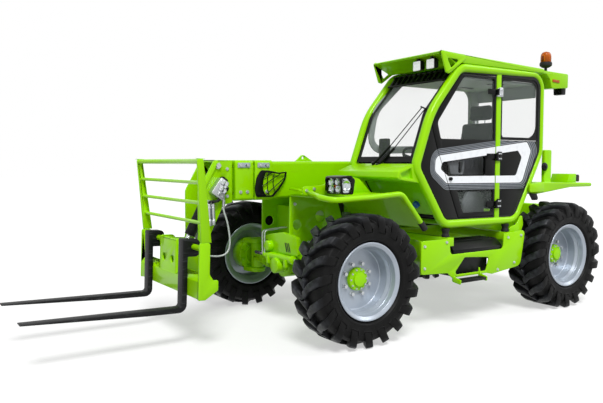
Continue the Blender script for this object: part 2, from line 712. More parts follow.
class DRESS_OT_cab_frame(bpy.types.Operator):
    """Roll the cab's tubes, with the cowl, the front wall and the door pillar between them"""

    bl_idname = "dress.cab_frame"
    bl_label = "Cab frame"

    def execute(self, context):
        bm = bmesh.new()
        line, radii = [], []
        for wide, narrow in zip(*(rounded(inset(CAB_RING, r), 10) for r in (CAB_TUBE, REAR_TUBE))):
            share = min(1.0, max(0.0, (SLIM_FROM - wide[0]) / SLIM_LENGTH))
            line.append([a + (b - a) * share for a, b in zip(wide, narrow)])
            radii.append(CAB_TUBE + (REAR_TUBE - CAB_TUBE) * share)
        for name, y in zip(("near", "far"), CAB_SIDES):
            tube(bm, [at(x, y, z) for x, z in line], radii, 24, True, 2.4)
            seal = cut(slab(bmesh.new(), inset(CAB_RING, SEAL[0]), y - 0.012, y + 0.012),
                       slab(bmesh.new(), inset(CAB_RING, SEAL[1]), y - 0.05, y + 0.05))
            piece("cab_seal_" + name, seal, "rubber", "chassis", edge=0.003)
        for x, z in ((-1.35, 2.447), (-2.25, 2.447), (-1.15, 0.983), (-1.85, 0.983)):
            tube(bm, [at(x, CAB_SIDES[1], z), at(x, CAB_SIDES[0], z)], 0.03, 20)
        piece("cab_tubes", bm, "lime", "chassis", ("cab_frame",))
        recess = slab(bmesh.new(), [(-0.468, 1.461, 0.008), (-0.6, 1.508, 0.008), (-0.618, 1.41, 0.008),
                                    (-0.49, 1.424, 0.008)], 0.985, 1.03)
        piece("cowl", cut(slab(bmesh.new(), COWL, 0.13, 1.019), recess), "lime", "chassis", edge=0.004)
        wall = slab(bmesh.new(), [(-0.995, 1.06), (-0.735, 1.45), (-0.755, 1.46), (-1.015, 1.075)], 0.155, 0.97)
        piece("front_wall", wall, "lime", "chassis", edge=0.004)
        pillar = block(bmesh.new(), (PILLAR[0], 0.999, 0.983), (PILLAR[1], 1.03, 2.447))
        piece("door_pillar", pillar, "lime", "chassis", edge=0.006, segments=3)
        for look, heights in (("black", HINGES[:2]), ("zinc", HINGES[2:])):
            leaf = bmesh.new()
            for z in heights:
                slab(leaf, oblong(-1.8, z - 0.045, -1.742, z + 0.045, 0.012), 1.03, 1.046)
                tube(leaf, [at(-1.722, 1.046, z - 0.045), at(-1.722, 1.046, z + 0.036)], 0.006, 12)
                block(leaf, (-1.745, 1.029, z - 0.046), (-1.71, 1.052, z - 0.031))
            piece("hinge_leaf_" + look, leaf, look, "chassis", edge=0.002)
        return {"FINISHED"}


class DRESS_OT_fenders(bpy.types.Operator):
    """Bend the front fenders' tubes and sheets and slip on their rubber sleeves"""

    bl_idname = "dress.fenders"
    bl_label = "Front fenders"

    def execute(self, context):
        bm, sleeves = bmesh.new(), bmesh.new()
        for side, inner in ((1, 0.095), (-1, 0.405)):
            part, sleeve = bmesh.new(), bmesh.new()
            slab(part, [(0.11, 1.238), (0.11, 1.25), (-0.424, 1.284, 0.06), (-0.7, 0.979), (-0.69, 0.971),
                        (-0.419, 1.272, 0.05)], inner, 1.073)
            tube(part, bent([(0.16, inner + 0.33, 1.308, 0), (0.34, 0.93, 1.268, 0.07), (0.315, 1.085, 1.252, 0.08),
                             (-0.08, 1.085, 1.264, 0.6), (-0.425, 1.085, 1.285, 0.1), (-0.712, 1.085, 0.955, 0)]),
                 0.025, 20)
            slab(part, [(0.3, 1.278, 0.03), (0.3, 1.348, 0.03), (0.09, 1.358, 0.03), (-0.2, 1.438, 0.03),
                        (-0.33, 1.408, 0.04), (-0.48, 1.268), (-0.48, 1.258), (0.11, 1.24)], 0.6, 0.612)
            slab(part, [(0.04, inner), (0.11, inner, 0.02), (0.215, inner + 0.33, 0.04), (0.09, 0.606, 0.03),
                        (0.04, 0.606)], 1.298, 1.31, "z")
            way = at(-0.425, 1.085, 1.285) - at(-0.712, 1.085, 0.955)
            turned(sleeve, [(0.0255, 0.0), (0.029, 0.004), (0.029, 0.085), (0.0255, 0.09)], at(-0.712, 1.085, 0.955),
                   way, 24)
            for made, whole in ((part, bm), (sleeve, sleeves)):
                for vert in made.verts:
                    vert.co.y *= side
                joined(whole, made)
        piece("front_fender_sheets", bm, "lime", "chassis", ("front_fenders",), edge=0.003)
        piece("fender_sleeves", sleeves, "rubber", "chassis")
        return {"FINISHED"}


class DRESS_OT_band(bpy.types.Operator):
    """Stick the white band and its grey lines on the door, the pillar and the panels beside it"""

    bl_idname = "dress.band"
    bl_label = "Side band"

    # How far out of the white band each grey line starts and ends
    LINES = ((0.007, 0.019), (0.026, 0.034), (0.041, 0.048), (0.055, 0.061))
    FILM = 0.0015
    # A point of the gap between the door and the corner, and the direction across the gap
    SEAM = (at(-1.212, 0, 1.026), Vector((0.63, 0, -0.281)))

    def execute(self, context):
        film = DOOR_FACE + 0.0005
        looks = {"white_film": [(BAND_OUTER, BAND_INNER)]}
        looks["grey_film"] = [(self.spread(far), self.spread(near)) for near, far in self.LINES]
        for look, shapes in looks.items():
            whole = bmesh.new()
            for outer, inner in shapes:
                ring = cut(slab(bmesh.new(), outer, film, film + self.FILM),
                           slab(bmesh.new(), inner, film - 0.01, film + 0.02))
                joined(whole, ring)
            self.shared_out(look, whole)
        return {"FINISHED"}

    def spread(self, gap):
        """The band's outline moved out by a gap, and further at its rear end."""
        return [(x - 0.7 * gap if x < -2 else x, z, r) for x, z, r in inset(BAND_OUTER, -gap)]

    def shared_out(self, look, whole):
        """The film cut at the panels' edges, each part on the body that carries it."""
        seam, lean = self.SEAM
        slope = Vector((-0.8675, 0, -0.4974))
        inside = [(at(-2.382, 0, 1.7), -AHEAD), (at(0, 0, 1.774), UP), (at(-1.984, 0, 0.984), slope)]
        parts = {
            "corner": ("chassis", [(seam + AHEAD * 0.007, -lean.normalized())]),
            "door": ("door", [(seam, lean.normalized()), (at(-1.717, 0, 0), -AHEAD), *inside]),
            "pillar": ("chassis", [(at(PILLAR[1], 0, 0), AHEAD), (at(PILLAR[0], 0, 0), -AHEAD), inside[1]]),
            "quarter": ("chassis", [(at(PILLAR[0] - 0.001, 0, 0), AHEAD), *inside]),
        }
        if look == "grey_film":
            parts.pop("pillar")
        for name, (body, planes) in parts.items():
            bm = whole.copy()
            for place, away in planes:
                bmesh.ops.bisect_plane(bm, geom=bm.verts[:] + bm.edges[:] + bm.faces[:], plane_co=place, plane_no=away,
                                       clear_outer=True)
                bmesh.ops.holes_fill(bm, edges=[edge for edge in bm.edges if edge.is_boundary])
            if name == "pillar":
                bmesh.ops.translate(bm, verts=bm.verts, vec=OUT * 0.0055)
            piece(f"{look}_{name}", bm, look, body)
        whole.free()


class DRESS_OT_glazing(bpy.types.Operator):
    """Print the black borders on the glass, set the slats under the visor and fit the wiper"""

    bl_idname = "dress.glazing"
    bl_label = "Glass borders and wiper"

    SLATS, SLAT_PITCH = 11, 0.073

    def execute(self, context):
        bm = bmesh.new()
        curve = rounded([(0, 0), (-0.8405, 2.035, 0.3), (-1.1985, 2.434)], 10)[1:]
        pane = [(-0.6635, 1.562), *curve]
        strip = pane + [(x + 0.003, z + 0.001) for x, z in pane[::-1]]
        foot = [(-0.6635, 1.562), (-0.683, 1.614), (-0.68, 1.615), (-0.6605, 1.563)]
        head = [(-1.123, 2.35), (-1.1985, 2.434), (-1.1955, 2.435), (-1.12, 2.351)]
        for line, low, high in ((strip, 0.157, 0.205), (strip, 0.92, 0.968), (foot, 0.205, 0.92),
                                (head, 0.205, 0.92)):
            slab(bm, line, low, high)
        quarter = [(-1.793, 1.783, 0.02), (-1.793, 2.402, 0.02), (-2.382, 2.402, 0.06), (-2.382, 1.783, 0.03)]
        sight = [(-1.822, 1.812, 0.03), (-1.822, 2.375, 0.03), (-2.352, 2.375, 0.08), (-2.352, 1.86, 0.12),
                 (-2.25, 1.812, 0.05)]
        border = cut(slab(bmesh.new(), quarter, 1.0145, 1.0165), slab(bmesh.new(), sight, 1.0, 1.03))
        piece("glass_borders", joined(bm, border), "black", "chassis")
        self.grille()
        self.wiper()
        return {"FINISHED"}

    def grille(self):
        """Flat slats between two rails under the visor."""
        bm = bmesh.new()
        low, high = (-1.078, 2.338), (-1.158, 2.436)
        for x, z in (low, high):
            tube(bm, [at(x, 0.157, z), at(x, 0.968, z)], 0.012, 14)
        for k in range(self.SLATS):
            y = 0.197 + k * self.SLAT_PITCH
            slab(bm, [(low[0] + 0.004, low[1] - 0.006), (low[0] + 0.012, low[1]), (high[0] + 0.012, high[1] + 0.006),
                      (high[0] + 0.004, high[1])], y - 0.014, y + 0.014)
        piece("roof_slats", bm, "black", "chassis", ("roof_grille",), edge=0.0015)

    def wiper(self):
        """Spindle, two parallel arms and the blade across their tips."""
        bm = bmesh.new()
        foot, knee, tip = at(-0.612, 0.475, 1.542), at(-0.69, 0.632, 1.715), at(-0.838, 0.9, 2.07)
        beside = Vector((-0.012, 0.046, -0.02))
        for shift in (Vector(), beside):
            turned(bm, [(0.016, -0.012), (0.016, 0.016), (0.011, 0.022)], foot + shift, (0.35, 0, 0.94), 20)
            tube(bm, [foot + shift, knee + shift], 0.012, 12)
            tube(bm, [foot.lerp(knee, 0.95) + shift, tip + shift * 0.7], 0.0045, 10)
        tube(bm, [tip - beside * 0.3, tip + beside], 0.007, 12)
        piece("wiper_arms", bm, "black", "chassis", ("wiper",))


class DRESS_OT_lamps(bpy.types.Operator):
    """Build the headlamps, working lamps, the beacon and the tail lamps on their brackets"""

    bl_idname = "dress.lamps"
    bl_label = "Lamps"

    # Points round the beacon's dome, and the height of every second one over the next
    DOME_POINTS, FLUTE = 72, 0.0008

    def execute(self, context):
        shell, bowls, lenses, spots, reds = (bmesh.new() for _ in range(5))
        hood = [(0.1, 1.283, 0.02), (0.122, 1.438, 0.03), (0.0, 1.446, 0.03), (-0.04, 1.408, 0.02),
                (-0.02, 1.283, 0.02)]
        face = [(0.704, 1.293, 0.02), (0.901, 1.293, 0.02), (0.901, 1.422, 0.03), (0.704, 1.422, 0.03)]
        flank = [(0.087, 1.298, 0.015), (0.104, 1.419, 0.02), (0.009, 1.423, 0.02), (-0.009, 1.301, 0.015)]
        mouth = [(0.702, 1.291, 0.02), (0.903, 1.291, 0.02), (0.903, 1.424, 0.03), (0.702, 1.424, 0.03)]
        shell = cut(slab(shell, hood, 0.69, 0.915), slab(bmesh.new(), mouth, 0.075, 0.2, "x"))
        block(shell, (0.0, 0.6123, 1.308), (0.06, 0.7, 1.368))
        slab(bowls, face, 0.0752, 0.079, "x")
        for y, z, r in ((0.75, 1.388, 0.034), (0.752, 1.327, 0.03), (0.838, 1.392, 0.03), (0.852, 1.33, 0.036)):
            turned(bowls, [(0.3 * r, 0.002), (0.7 * r, 0.004), (0.95 * r, 0.014), (r, 0.02), (0.92 * r, 0.0205),
                           (0.6 * r, 0.009), (0.3 * r, 0.007)], at(0.078, y, z), AHEAD, 28)
            turned(bowls, [(0.25 * r, 0.004), (0.28 * r, 0.012), (0.15 * r, 0.017), (0.0, 0.018)], at(0.078, y, z),
                   AHEAD, 16)
        turned(spots, [(0.013, 0.0), (0.013, 0.014), (0.008, 0.02), (0.0, 0.021)], at(0.078, 0.803, 1.352), AHEAD, 20)
        slab(lenses, face, 0.1, 0.104, "x")
        shell = cut(shell, slab(bmesh.new(), [(0.088, 1.297, 0.015), (0.105, 1.42, 0.02), (0.008, 1.424, 0.02),
                                              (-0.01, 1.3, 0.015)], 0.885, 0.93))
        slab(bowls, flank, 0.8852, 0.889)
        turned(bowls, [(0.014, 0.002), (0.034, 0.004), (0.044, 0.012), (0.047, 0.018), (0.043, 0.0185), (0.028, 0.008),
                       (0.014, 0.007)], at(0.048, 0.888, 1.361), OUT, 28)
        slab(lenses, flank, 0.909, 0.913)
        bracket = mirrored(slab(bmesh.new(), [(-3.0, 1.336), (-3.035, 1.43, 0.01), (-3.165, 1.43, 0.01),
                                              (-3.165, 1.334)], 0.75, 0.97))
        piece("tail_lamp_brackets", bracket, "lime", "chassis", edge=0.004)
        slab(shell, [(-3.164, 1.345, 0.01), (-3.164, 1.42, 0.015), (-3.235, 1.42, 0.02), (-3.235, 1.345, 0.01)],
             0.76, 0.96)
        slab(reds, oblong(0.765, 1.34, 0.955, 1.412, 0.01), -3.25, -3.234, "x")
        for bm in (shell, bowls, spots, lenses, reds):
            mirrored(bm)
        piece("lamp_shells", shell, "black", "chassis", ("lamps",), edge=0.003)
        piece("lamp_bowls", bowls, "chrome", "chassis")
        piece("lamp_spots", spots, "amber", "chassis")
        piece("lamp_covers", lenses, "lens", "chassis", edge=0.002)
        piece("tail_lenses", reds, "red", "chassis", edge=0.003)
        self.working_lamps()
        self.beacon()
        return {"FINISHED"}

    def working_lamps(self):
        """Finned housings hung from the visor, each with three rows of round lenses."""
        shells, faces = bmesh.new(), bmesh.new()
        for y in (0.696, 0.876):
            slab(shells, [(-0.962, 2.43, 0.015), (-0.96, 2.532, 0.015), (-1.0, 2.526, 0.01), (-1.012, 2.445, 0.015)],
                 y - 0.055, y + 0.055)
            for k in range(5):
                block(shells, (-1.022, y - 0.048 + k * 0.022, 2.455), (-1.0, y - 0.042 + k * 0.022, 2.518))
            block(shells, (-0.99, y - 0.012, 2.515), (-0.97, y + 0.012, 2.552))
            slab(faces, oblong(y - 0.048, 2.437, y + 0.048, 2.525, 0.01), -0.963, -0.958, "x")
            for i in range(9):
                turned(faces, [(0.013, 0.0), (0.01, 0.002), (0.0, 0.003)],
                       at(-0.9585, y - 0.031 + i % 3 * 0.031, 2.452 + i // 3 * 0.029), AHEAD, 16)
        piece("work_lamp_shells", shells, "black", "chassis", edge=0.002)
        piece("work_lamp_faces", faces, "led", "chassis")

    def beacon(self):
        """Dark base on a stem and the fluted amber dome."""
        foot = at(-2.63, 0.925, 2.5165)
        base = turned(bmesh.new(), [(0.015, 0.0), (0.015, 0.05), (0.04, 0.058), (0.062, 0.075), (0.065, 0.095),
                                    (0.06, 0.112), (0.05, 0.114)], foot, UP, 48)
        piece("beacon_base", base, "rubber", "chassis")
        dome = bmesh.new()
        rings = []
        for r, h in ((0.05, 0.112), (0.054, 0.116), (0.054, 0.17), (0.05, 0.196), (0.036, 0.216), (0.014, 0.2245)):
            ring = []
            for k in range(self.DOME_POINTS):
                turn = 2 * pi * k / self.DOME_POINTS
                way = Vector((cos(turn), sin(turn), 0))
                ring.append(dome.verts.new(foot + UP * h + way * (r + (self.FLUTE if k % 2 else 0))))
            rings.append(ring)
        for first, second in zip(rings, rings[1:]):
            for k in range(self.DOME_POINTS):
                dome.faces.new((first[k - 1], first[k], second[k], second[k - 1]))
        dome.faces.new(rings[0])
        dome.faces.new(rings[-1])
        piece("beacon_dome", dome, "amber", "chassis", ("beacon",), angle=50)


class DRESS_OT_wheels(bpy.types.Operator):
    """Mould the tyres and fit the wheel nuts, hub covers and valves"""

    bl_idname = "dress.wheels"
    bl_label = "Wheels"

    # Radii of the circles that the nuts and bolts stand on, and how far in from the wheel's middle the drum's face is
    NUTS, HUB_BOLTS, DRUM_BOLTS = 0.1375, 0.083, 0.148
    DRUM = 0.205
    # The tread is rubbed from this depth under its outside, over this height
    RUB_DEPTH, RUB_HEIGHT = 0.034, 0.03

    def execute(self, context):
        tree = bolt_tree()
        for name, (x, side) in WHEELS.items():
            out = OUT * side
            middle = at(x, TRACK_HALF * side, AXLE_Z)
            self.rub(softened("tyre_" + name, 0.006).data, middle)
            ring = bmesh.new()
            for reach, high in ((0.4425, 0.1955), (0.372, 0.19)):
                turned(ring, [(reach - 0.006, high - 0.004), (reach - 0.003, high), (reach + 0.003, high),
                              (reach + 0.006, high - 0.004)], middle, out, 96, True)
            piece("sidewall_rings_" + name, ring, "tyre", "wheel_" + name)
            nuts = [(middle + out * -0.012 + aim * self.NUTS, out, 0.034) for aim in circle(8, 22.5)]
            bolts("wheel_nuts_" + name, tree, nuts, "zinc", "wheel_" + name, 0.8)
            valve = turned(bmesh.new(), [(0.006, 0.0), (0.006, 0.03), (0.009, 0.034), (0.009, 0.048), (0.0, 0.05)],
                           middle + out * 0.02 + Vector((0.25, 0, 0.02)), out, 12)
            piece("valve_" + name, valve, "rubber", "wheel_" + name)
            hub = turned(bmesh.new(), [(0.098, 0.0), (0.096, 0.012), (0.08, 0.018), (0.062, 0.02), (0.06, 0.036),
                                       (0.045, 0.04), (0.0, 0.04)], middle + out * 0.006, out, 48)
            piece("hub_cover_" + name, hub, "lime", "knuckle_" + name)
            small = [(middle + out * 0.023 + aim * self.HUB_BOLTS, out, 0.014) for aim in circle(10)]
            bolts("hub_bolts_" + name, tree, small, "zinc", "knuckle_" + name)
            face = middle - out * self.DRUM
            drum = [(face + aim * self.DRUM_BOLTS, -out, 0.03) for aim in circle(10, 18)]
            ribs = turned(bmesh.new(), [(0.088, -0.004), (0.092, 0.016), (0.104, 0.016), (0.108, -0.004)], face, -out,
                          48, True)
            for aim in circle(10, 18):
                tube(ribs, [face - out * 0.002 + aim * reach for reach in (0.1, 0.128)], 0.009, 8)
            bolts("drum_bolts_" + name, tree, drum, "lime", "knuckle_" + name)
            piece("drum_ribs_" + name, ribs, "lime", "knuckle_" + name)
        self.machine_bolts(tree)
        return {"FINISHED"}

    def rub(self, tyre, middle):
        """Mark on the tyre's mesh how near each point is to the tread's outside."""
        reach = [((v.co.x - middle.x) ** 2 + (v.co.z - middle.z) ** 2) ** 0.5 for v in tyre.vertices]
        top = max(reach)
        tread = tyre.attributes.new("tread", "FLOAT", "POINT")
        shares = [(r - top + self.RUB_DEPTH) / self.RUB_HEIGHT for r in reach]
        tread.data.foreach_set("value", [min(1.0, max(0.0, share)) for share in shares])

    def machine_bolts(self, tree):
        """Visible bolts of the frame, boom and head."""
        lamp_plate = ((-0.26, 1.395), (-0.15, 1.385), (0.18, 1.325), (0.26, 1.312))
        skirt = ((-0.7, 0.8), (-0.7, 0.6), (-0.98, 0.82), (-1.85, 0.81), (-2.05, 0.82), (-1.7, 0.5),
                 (-1.95, 0.55))
        chassis = [(at(x, 0.613, z), OUT, 0.022) for x, z in lamp_plate]
        chassis += [(at(0.0, y, 1.2505), UP, 0.022) for y in (0.3, 0.42, 0.98)]
        chassis += [(at(x, 1.0955, z), OUT, 0.022) for x, z in skirt]
        chassis += [(at(x, 0.1155, z), OUT, 0.026) for x, z in ((0.06, 1.16), (0.06, 0.8), (-0.1, 0.78))]
        leaf = [(d, e) for d in (0.005, 0.03) for e in (-0.025, 0.025)]
        chassis += [(at(PILLAR[0] + 0.005 + d, 1.0465, z + e), OUT, 0.014) for z in HINGES for d, e in leaf]
        bolts("frame_bolts", tree, chassis, "zinc", "chassis")
        for name, body, low in (("collar_bolts", "boom", 0.315), ("middle_bolts", "boom_middle", 0.525)):
            spots = [(x, z, lift) for x in (low, low + 0.07) for z, lift in ((1.533, 0.0065), (1.285, 0))]
            pads = [(at(x, BOOM_SIDE + lift, z), OUT, 0.026) for x, z, lift in spots]
            bolts(name, tree, pads, "zinc", body)
        plate = ((0.815, 1.53, 0.05), (0.72, 1.5, 0.024), (0.72, 1.25, 0.024))
        nose = [(at(x, NOSE_SIDE, z), OUT, size) for x, z, size in plate]
        nose += [(at(x, 0.068, z), OUT, 0.016) for x, z in ((0.8, 1.39), (0.76, 1.355), (0.88, 1.29), (0.81, 1.25))]
        bolts("nose_bolts", tree, nose, "zinc", "boom_nose")


class DRESS_OT_boom_fittings(bpy.types.Operator):
    """Fit the wear pads, the hose guard, and the valve block's sections, couplers and pipes"""

    bl_idname = "dress.boom_fittings"
    bl_label = "Boom fittings"

    def execute(self, context):
        for name, body, low in (("collar_pads", "boom", 0.285), ("middle_pads", "boom_middle", 0.495)):
            bm = slab(bmesh.new(), oblong(low, 1.51, low + 0.13, 1.556, 0.006), BOOM_SIDE - 0.001, BOOM_SIDE + 0.006)
            piece(name, bm, "silver", body, edge=0.0015)
            screws = bmesh.new()
            for x in (low + 0.036, low + 0.094):
                turned(screws, [(0.013, 0.0), (0.012, 0.003), (0.008, 0.004), (0.007, 0.001), (0.0, 0.001)],
                       at(x, BOOM_SIDE + 0.0055, 1.533), OUT, 20)
            piece(name + "_screws", screws, "rubber", body)
        self.hose_guard()
        caps = bmesh.new()
        for x in (0.885, 0.925):
            turned(caps, [(0.0165, 0.0), (0.019, 0.004), (0.019, 0.04), (0.014, 0.048), (0.0, 0.048)],
                   at(x - 0.008, 0.0293, 1.044), (0.05, 0, -1), 24)
            turned(caps, [(0.0165, 0.0), (0.018, 0.003), (0.018, 0.012), (0.0165, 0.015)], at(x - 0.003, 0.0293, 1.14),
                   (0.05, 0, 1), 24)
        piece("coupler_caps", caps, "zinc", "boom_nose")
        self.valve_sections()
        elbow = turned(bmesh.new(), [(0.01, 0.0), (0.0155, 0.002), (0.0155, 0.02), (0.013, 0.022), (0.013, 0.04),
                                     (0.0155, 0.042), (0.0155, 0.06), (0.01, 0.062)], at(0.782, 0.04, 1.158), UP, 6)
        piece("hose_nut", elbow, "zinc", "boom_nose")
        pipes = bmesh.new()
        for k, y in enumerate((0.025, 0.05)):
            tube(pipes, bent([(0.8 + 0.03 * k, y, 1.23, 0), (0.835 + 0.03 * k, y, 1.205, 0.02),
                              (0.885 + 0.035 * k, y, 1.215, 0.02), (0.885 + 0.04 * k, 0.0293, 1.185, 0)]), 0.01, 12)
        piece("coupler_pipes", pipes, "rubber", "boom_nose")
        return {"FINISHED"}

    def hose_guard(self):
        """Curved dark plate beside the boom's collar, with a rim and a fan of wires."""
        rim = [(0.44, 1.235, 0.03), (0.452, 1.32, 0.1), (0.432, 1.42, 0.12), (0.385, 1.487, 0.04),
               (0.3, 1.482, 0.05), (0.19, 1.462, 0.1), (0.1, 1.47, 0.008), (0.112, 1.4, 0.1),
               (0.185, 1.3, 0.2), (0.255, 1.232, 0.02)]
        sight = [(0.335, 1.247, 0.02), (0.368, 1.31, 0.1), (0.362, 1.4, 0.1), (0.335, 1.468, 0.02),
                 (0.19, 1.448, 0.1), (0.118, 1.456, 0.006), (0.128, 1.4, 0.1), (0.2, 1.31, 0.2),
                 (0.268, 1.247, 0.015)]
        guard = cut(slab(bmesh.new(), rim, 0.028, 0.04), slab(bmesh.new(), sight, 0.02, 0.05))
        for line in ([(0.296, 1.474), (0.313, 1.42), (0.318, 1.36), (0.313, 1.3), (0.296, 1.242)],
                     [(0.236, 1.465), (0.251, 1.415), (0.253, 1.355), (0.24, 1.3), (0.228, 1.27)],
                     [(0.372, 1.335), (0.152, 1.462)], [(0.372, 1.405), (0.25, 1.47)],
                     [(0.345, 1.245), (0.112, 1.42)]):
            tube(guard, [at(x, 0.034, z) for x, z in line], 0.004, 10)
        for z in (1.27, 1.43):
            turned(guard, [(0.015, 0.0), (0.015, 0.012)], at(0.405, BOOM_SIDE, z), OUT, 24)
        piece("hose_guard_plate", guard, "black", "boom", ("hose_guard",), edge=0.002)

    def valve_sections(self):
        """Stacked sections, plugs and the dark solenoids on the valve block's face."""
        def spot(a, b):
            """A point of the side view, measured along the block's two edges from its corner."""
            return 0.812 - 0.824 * a + 0.383 * b, 1.425 - 0.567 * a - 0.924 * b

        sections, dark = bmesh.new(), bmesh.new()
        for a, b, wide, high, rise in ((0.006, 0.012, 0.04, 0.042, 0.022), (0.05, 0.016, 0.036, 0.05, 0.014),
                                       (0.008, 0.064, 0.044, 0.046, 0.017), (0.056, 0.078, 0.03, 0.036, 0.024),
                                       (0.01, 0.118, 0.032, 0.034, 0.012)):
            slab(sections, [spot(a, b), spot(a + wide, b), spot(a + wide, b + high), spot(a, b + high)],
                 0.066, 0.067 + rise)
        for a, b, rise, r in ((0.026, 0.033, 0.089, 0.011), (0.068, 0.04, 0.081, 0.012), (0.03, 0.087, 0.084, 0.01),
                              (0.071, 0.096, 0.091, 0.009), (0.026, 0.135, 0.079, 0.009)):
            x, z = spot(a, b)
            turned(sections, [(r, 0.0), (r, 0.006), (0.7 * r, 0.009), (0.7 * r, 0.013), (0.0, 0.014)], at(x, rise, z),
                   OUT, 6)
        slab(dark, [spot(0.016, -0.02), spot(0.074, -0.02), spot(0.08, 0.002), spot(0.01, 0.002)], 0.006, 0.06)
        slab(dark, [spot(0.094, 0.03), spot(0.116, 0.034), spot(0.116, 0.07), spot(0.094, 0.074)], 0.01, 0.056)
        piece("valve_sections", sections, "chrome", "boom_nose", edge=0.002)
        piece("valve_solenoids", dark, "black", "boom_nose", edge=0.004)


class DRESS_OT_axle_gear(bpy.types.Operator):
    """Fit the steering cylinders, the axles' ribs and covers, and the front axle's pipes and housing"""

    bl_idname = "dress.axle_gear"
    bl_label = "Axle gear"

    def execute(self, context):
        for name, x, ahead in (("front", WHEELS["fl"][0], 1), ("rear", WHEELS["rl"][0], -1)):
            barrel, rods = bmesh.new(), bmesh.new()
            centre = x + ahead * 0.165
            place = at(centre, 0, AXLE_Z + 0.075)
            turned(barrel, [(0.03, -0.26), (0.04, -0.258), (0.04, -0.215), (0.036, -0.21), (0.036, 0.21),
                            (0.04, 0.215), (0.04, 0.258), (0.03, 0.26)], place, OUT, 32)
            for y in (-0.16, 0.16):
                block(barrel, (centre - 0.045, y - 0.02, AXLE_Z), (centre + 0.045, y + 0.02, AXLE_Z + 0.075))
            turned(rods, [(0.0, -0.46), (0.018, -0.455), (0.018, 0.455), (0.0, 0.46)], place, OUT, 24)
            for y in (-0.3, 0.3):
                for lean in (-1, 1):
                    slab(barrel, [(y - 0.008 + 0.03 * lean, AXLE_Z - 0.06), (y + 0.008 + 0.03 * lean, AXLE_Z - 0.06),
                                  (y + 0.008 - 0.03 * lean, AXLE_Z + 0.07), (y - 0.008 - 0.03 * lean, AXLE_Z + 0.07)],
                         x + ahead * 0.075, x + ahead * 0.125, "x")
            for y in (-0.44, -0.36, 0.36, 0.44):
                turned(barrel, [(0.085, -0.012), (0.098, -0.009), (0.098, 0.009), (0.085, 0.012)], at(x, y, AXLE_Z),
                       OUT, 40, True)
            for y in (-0.07, 0.07):
                turned(barrel, [(0.03, 0.0), (0.03, 0.03), (0.022, 0.036), (0.0, 0.036)],
                       at(x + ahead * 0.12, y, AXLE_Z - 0.02), AHEAD * ahead, 24)
            piece(name + "_steering_barrel", barrel, "lime", "chassis", edge=0.002)
            piece(name + "_steering_rod", rods, "chrome", "chassis")
        pipes = bmesh.new()
        for y in (-0.27, -0.225):
            tube(pipes, bent([(0.14, y, 0.63, 0), (0.195, y, 0.65, 0.03), (0.195, y, 0.88, 0.04),
                              (-0.067, y, 0.9, 0)]), 0.008, 12)
        piece("axle_pipes", pipes, "zinc", "chassis")
        housing = slab(bmesh.new(), [(-0.345, 0.665, 0.03), (-0.345, 0.815, 0.04), (-0.2, 0.85, 0.05),
                                     (0.03, 0.885, 0.05), (0.29, 0.86, 0.03), (0.305, 0.68, 0.03)],
                       0.112, 0.15, "x")
        turned(housing, [(0.05, 0.0), (0.052, 0.004), (0.052, 0.05), (0.044, 0.058), (0.0, 0.058)],
               at(0.148, -0.18, 0.735), AHEAD, 32)
        slots = bmesh.new()
        for y in (-0.315, 0.085):
            for k in range(3):
                tube(slots, [at(0.15, y + 0.03 * k, 0.79), at(0.15, y + 0.03 * k + 0.03, 0.705)], 0.006, 8)
        piece("axle_housing", housing, "lime", "chassis", edge=0.006)
        piece("housing_slots", slots, "rubber", "chassis")
        return {"FINISHED"}


